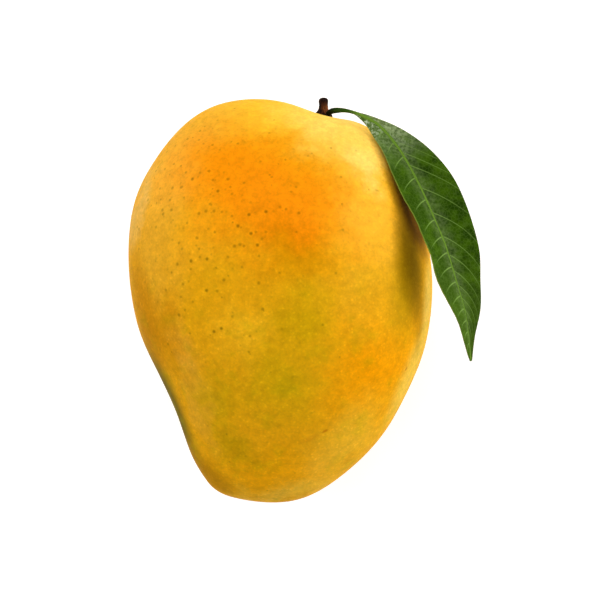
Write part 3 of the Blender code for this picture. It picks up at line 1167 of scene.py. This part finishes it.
@dataclass
class Leaf:
    """The leaf: petiole, midrib and folded blade on one spine."""

    blade_start: int = 4
    blade_length: float = 79.0
    fullness: float = 0.25
    left_wave: float = 0.12
    right_wave: float = 0.26
    edge_waves: float = 7.5
    edge_crimp: float = 0.03
    # Crimps to each wave of the edge.
    crimps: float = 3.7
    left_wave_start: float = 2.6
    right_wave_start: float = 0.9
    middle_thickness: float = 0.62
    edge_thickness: float = 0.30
    quilting: float = 0.10
    buckle: float = 0.12
    buckle_size: float = 5.0
    stations: int = 300
    columns: int = 49
    rib_rings: int = 220
    rib_sides: int = 16
    rib_lift: float = 0.18
    rib_thinning: float = 0.35
    rib_flattening: float = 0.15
    rib_narrowing: float = 0.08
    # Where the side veins spring from the midrib, from 0 at the blade's base to 1 at its tip.
    left_roots: tuple[float, ...] = (
        0.05, 0.11, 0.182, 0.248, 0.31, 0.388, 0.466, 0.535, 0.594, 0.648, 0.696, 0.747, 0.794,
        0.837, 0.878, 0.916, 0.95,
    )
    right_roots: tuple[float, ...] = (
        0.06, 0.115, 0.172, 0.235, 0.288, 0.339, 0.423, 0.508, 0.59, 0.652, 0.706, 0.754, 0.797,
        0.837, 0.875, 0.909, 0.937, 0.965,
    )
    # How far along the blade a side vein runs on its way to the margin: straight, and bending.
    left_slant: tuple[float, float] = (0.0, 0.034)
    right_slant: tuple[float, float] = (0.10, 0.04)

    def __post_init__(self) -> None:
        """Lays out the spine and the two margins."""
        self.spine = Curve([
            (11.0, 46.5, 36.9, 0.72), (11.9, 47.0, 38.7, 0.78), (13.3, 47.1, 40.5, 0.75),
            (15.1, 47.0, 41.9, 0.58), (17.6, 46.4, 42.9, 0.47), (20.5, 45.2, 43.6, 0.54),
            (24.1, 43.0, 44.3, 0.60), (27.7, 39.1, 45.2, 0.62), (30.9, 34.4, 46.4, 0.62),
            (33.9, 28.8, 47.9, 0.60), (36.6, 23.0, 49.5, 0.58), (39.1, 17.0, 50.9, 0.56),
            (41.5, 11.1, 51.8, 0.55), (43.4, 5.1, 52.1, 0.53), (45.2, -0.9, 51.8, 0.50),
            (47.0, -7.0, 50.8, 0.47), (48.0, -13.0, 49.2, 0.44), (48.9, -20.2, 46.9, 0.38),
        ])
        # From the blade's base to its tip: the left margin's reach and rise, and the right's.
        self.margins = Curve([
            (0.3, 0.2, 0.3, 0.1), (1.3, 0.5, 0.7, 0.3), (2.9, 1.5, 1.7, 0.6),
            (3.9, 3.7, 4.0, 1.0), (4.7, 5.0, 6.4, 1.1), (5.5, 5.9, 8.4, 0.8),
            (5.2, 6.5, 9.4, 0.3), (4.9, 7.6, 9.4, -0.2), (4.85, 8.1, 8.9, -0.5),
            (5.0, 7.9, 8.05, -0.6), (4.5, 6.4, 6.35, -0.4), (2.95, 4.4, 4.45, -0.2),
            (1.75, 2.6, 2.1, 0.0), (0.3, 0.2, 0.4, 0.0),
        ])
        self.span = len(self.margins.points) - 1

    def middle_surface(self, share: np.ndarray, across: np.ndarray) -> np.ndarray:
        """The blade's middle surface.

        Args:
            share: From 0 at the blade's base to 1 at its tip.
            across: From -1 at the left edge to 1 at the right.

        Returns:
            Points in millimetres.
        """
        place = self.blade_start + share * self.span
        centre = self.spine.at(place)[..., :3]
        ahead = self.spine.at(place + 0.05)[..., :3] - self.spine.at(place - 0.05)[..., :3]
        to_right = unit(np.cross((0.0, 0.0, 1.0), ahead))
        margins = self.margins.at(place - self.blade_start)
        left = across < 0
        outwards = np.where(left[..., None], -to_right, to_right)
        reach = np.where(left, margins[..., 0], margins[..., 2])
        rise = np.where(left, margins[..., 1], margins[..., 3])
        start = np.where(left, self.left_wave_start, self.right_wave_start)
        part = np.abs(across)
        climb = part * (1 + self.fullness * (1 - part))
        taper = np.sqrt(np.clip(np.sin(math.pi * share), 0, 1))
        turns = 2 * math.pi * self.edge_waves * share + start
        wave = np.where(left, self.left_wave, self.right_wave) * part**2 * taper * np.sin(turns)
        wave = wave + self.edge_crimp * part**4 * taper * np.sin(self.crimps * turns)
        up = np.array([0.0, 0.0, 1.0])
        square = unit(up * reach[..., None] - outwards * rise[..., None])
        flat = centre + outwards * (reach * part)[..., None] + up * (rise * climb)[..., None]
        return flat + square * wave[..., None]

    def vein_phase(self, share: np.ndarray, across: np.ndarray) -> tuple[np.ndarray, np.ndarray]:
        """Counts the side veins, which stand closer towards the tip.

        Args:
            share: From 0 at the blade's base to 1 at its tip.
            across: From -1 at the left edge to 1 at the right.

        Returns:
            A count that is whole on each vein, and the veins' spacing in millimetres.
        """
        phase, spacing = np.zeros_like(share), np.zeros_like(share)
        part = np.abs(across)
        for half, roots, (straight, bent) in (
            (Half.LEFT, self.left_roots, self.left_slant),
            (Half.RIGHT, self.right_roots, self.right_slant),
        ):
            here = np.sign(across) == half.value
            source = share - straight * part - bent * part**2
            marks = np.array(roots)
            gaps = np.diff(marks)
            # Past its first and last vein a half goes on with the same spacing.
            before, after = marks[0] - gaps[0] * 4, marks[-1] + gaps[-1] * 4
            marks = np.concatenate([[before], marks, [after]])
            counts = np.concatenate([[-4], np.arange(len(roots)), [len(roots) + 3]])
            middles = (marks[1:-2] + marks[2:-1]) / 2
            phase = np.where(here, np.interp(source, marks, counts), phase)
            width = np.interp(source, middles, gaps) * self.blade_length
            spacing = np.where(here, width, spacing)
        return phase, spacing

    def dress_blade(self, material: Material) -> None:
        """Builds the blade, quilted between its veins, and puts it in the scene.

        Args:
            material: The blade's finish.
        """
        share = np.linspace(0, 1, self.stations)
        across = np.linspace(-1, 1, self.columns)
        # The columns stand closer towards the margins.
        across = np.sign(across) * np.abs(across) ** 0.9
        share, across = np.meshgrid(share, across, indexing="ij")
        middle = self.middle_surface(share, across)
        normal = normals_of(middle, closed=False)
        normal *= np.sign(normal[..., 2:3])
        phase, spacing = self.vein_phase(share, across)
        part = np.abs(across)
        # The raised left half shows its veins strongly by the rib and not at all by the margin.
        shown = np.where(across < 0, np.clip((0.9 - part) / 0.6, 0, 1), 0.9 - 0.5 * part)
        pillow = np.sin(math.pi * phase) ** 2
        body = np.clip(part / 0.1, 0, 1) * np.clip((1 - part) / 0.15, 0, 1)
        relief = self.quilting * (pillow - 0.5) * body * np.clip(spacing / 4, 0, 1)
        relief = relief + self.buckle * relief_noise(middle, self.buckle_size, 2.2) * body
        half = self.edge_thickness + (self.middle_thickness - self.edge_thickness) * (1 - part) ** 3
        half = half / 2 * np.clip(1.02 - part, 0, 0.05) / 0.05
        ends = np.clip(np.minimum(share, 1 - share) / 0.01, 0.3, 1)
        half = (half * ends)[..., None]
        top = middle + normal * (relief[..., None] + half)
        bottom = middle + normal * (relief[..., None] - half)
        rings = np.concatenate([top, bottom[:, ::-1]], axis=1)
        mesh = mesh_from_rings("leaf_blade", rings)
        names = ("across", "share", "vein_phase", "vein_spacing", "vein_shown", "upper")
        above = (across, share, phase, spacing, shown, np.ones_like(share))
        below = (across, share, phase, spacing, shown, np.zeros_like(share))
        # Each value runs over the upper face and back under the lower one.
        for name, over, under in zip(names, above, below):
            values = np.concatenate([over, under[:, ::-1]], axis=1)
            set_values(mesh, name, np.append(values, (0.0, 0.0)))
        place_piece("leaf_blade", mesh, material, "leaf")

    def dress_rib(self, material: Material) -> None:
        """Builds the petiole and midrib, which thins towards the tip, as one tapering stem.

        Args:
            material: The stem's finish.
        """
        last = len(self.spine.points) - 1
        place = np.linspace(0, last, self.rib_rings)
        along = self.spine.at(place)
        centre, radius = along[:, :3], along[:, 3]
        ahead = unit(np.gradient(centre, axis=0))
        side = unit(np.cross((0.0, 0.0, 1.0), ahead))
        top = np.cross(ahead, side)
        in_blade = np.clip((place - self.blade_start) / 3, 0, 1)
        to_tip = np.clip((place - self.blade_start) / self.span, 0, 1)
        radius = radius * (1 - self.rib_thinning * to_tip)
        # Within the blade the rib rides up, so that it shows as a low ridge between the halves.
        centre = centre + top * (self.rib_lift * in_blade)[:, None]
        above = radius * (1 - self.rib_flattening * in_blade)
        sideways = radius * (1 - self.rib_narrowing * in_blade)
        angle = np.linspace(0, 2 * math.pi, self.rib_sides, endpoint=False)
        tall = np.where(np.sin(angle)[None] > 0, above[:, None], radius[:, None])
        rings = (
            centre[:, None]
            + side[:, None] * (sideways[:, None] * np.cos(angle))[..., None]
            + top[:, None] * (tall * np.sin(angle))[..., None]
        )
        mesh = mesh_from_rings("leaf_rib", rings)
        length = np.append(0, np.cumsum(np.linalg.norm(np.diff(centre, axis=0), axis=1)))
        values = np.repeat(length, self.rib_sides)
        set_values(mesh, "along", np.append(values, (0.0, length[-1])))
        place_piece("leaf_rib", mesh, material)


@dataclass(frozen=True)
class SoftLight:
    """One round soft box, aimed at the fruit from a direction, sized in metres and watts."""

    name: str
    towards: tuple[float, float, float]
    distance: float
    width: float
    power: float

    def build(self, target: Vector) -> None:
        """Hangs the light and turns it to the fruit.

        Args:
            target: The point that it faces.
        """
        data = bpy.data.lights.new(self.name, "AREA")
        data.shape = "DISK"
        data.size = self.width
        data.energy = self.power
        light = link_to_scene(bpy.data.objects.new(self.name, data))
        direction = Vector(self.towards).normalized()
        light.location = target + direction * self.distance
        light.rotation_mode = "QUATERNION"
        light.rotation_quaternion = direction.to_track_quat("Z", "Y")


@dataclass
class Studio:
    """The pale floor, the soft light and the camera that looks straight down."""

    seam_height: float
    sensor: float = 36.0
    floor_side: float = 8.0
    floor_colour: str = "#c8c8c8"
    floor_glow: float = 0.72
    overhead: float = 0.50
    horizon: float = 0.25
    lights: tuple[SoftLight, ...] = (
        SoftLight("key", (0.0, 0.55, 0.83), 0.9, 0.6, 3.4),
        SoftLight("window", (-0.52, 0.0, 0.85), 0.9, 0.25, 1.2),
        SoftLight("beak_edge", (-1.0, 0.4, 0.2), 0.8, 0.5, 0.8),
        SoftLight("back_side", (1.0, 0.15, 0.30), 0.9, 0.6, 2.8),
        SoftLight("back_low", (1.0, 0.05, 0.06), 0.9, 0.2, 2.2),
    )

    def build(self) -> None:
        """Sets up everything that isn't part of the mango."""
        self.make_floor()
        self.make_surround()
        for light in self.lights:
            light.build(Vector((0, 0, self.seam_height * MM)))
        self.make_camera()
        bpy.context.scene.view_settings.view_transform = "Standard"
        bpy.context.scene.view_settings.look = "None"

    def make_floor(self) -> None:
        """A plain pale table, lit a little from within so that shadows stay faint."""
        half = self.floor_side / 2
        mesh = bpy.data.meshes.new("floor")
        corners = [(-half, -half, 0), (half, -half, 0), (half, half, 0), (-half, half, 0)]
        mesh.from_pydata(corners, [], [(0, 1, 2, 3)])
        material = bpy.data.materials.new("pale_table")
        material.use_nodes = True
        tree = material.node_tree
        inputs = {
            "Base Color": linear(self.floor_colour),
            "Roughness": 0.9,
            "Specular IOR Level": 0.1,
            "Emission Color": WHITE,
            "Emission Strength": self.floor_glow,
        }
        fill(tree, tree.nodes["Principled BSDF"], inputs)
        mesh.materials.append(material)
        link_to_scene(bpy.data.objects.new("floor", mesh))

    def make_surround(self) -> None:
        """A white surround, bright at the horizon and dimmer overhead."""
        world = bpy.data.worlds.new("surround")
        world.use_nodes = True
        tree = world.node_tree
        direction = add_node(tree, "TexCoord", output="Generated")
        height = add_node(tree, "SeparateXYZ", {0: direction}, "Z")
        limits = {VALUE: height, START: 0.15, END: 0.8, LOW: self.horizon, HIGH: self.overhead}
        strength = add_node(tree, "MapRange", limits, **SMOOTH)
        fill(tree, tree.nodes["Background"], {"Color": WHITE, "Strength": strength})
        bpy.context.scene.world = world

    def make_camera(self) -> None:
        """Frames the fruit as the photograph does."""
        data = bpy.data.cameras.new("camera")
        data.sensor_width = self.sensor
        data.lens = self.sensor * CAMERA_DISTANCE / (PHOTO_SIDE * PIXEL)
        data.clip_start, data.clip_end = 0.05, 20.0
        camera = link_to_scene(bpy.data.objects.new("camera", data))
        x, y = from_pixel(PHOTO_SIDE / 2, PHOTO_SIDE / 2)
        camera.location = Vector((x, y, self.seam_height + CAMERA_DISTANCE)) * MM
        bpy.context.scene.camera = camera


def main() -> None:
    """Builds the mango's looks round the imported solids."""
    logging.basicConfig(level=logging.INFO, format="%(name)s: %(message)s")
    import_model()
    fruit = Fruit()
    skin = MangoSkin().material(fruit)
    fruit.dress(skin)
    Lenticels(fruit).dress(skin)
    Stalk(fruit).dress(StalkBark().material())
    leaf = Leaf()
    cuticle = LeafCuticle()
    leaf.dress_blade(cuticle.material())
    leaf.dress_rib(cuticle.rib_material())
    Studio(fruit.seam_height).build()


if __name__ == "__main__":
    main()
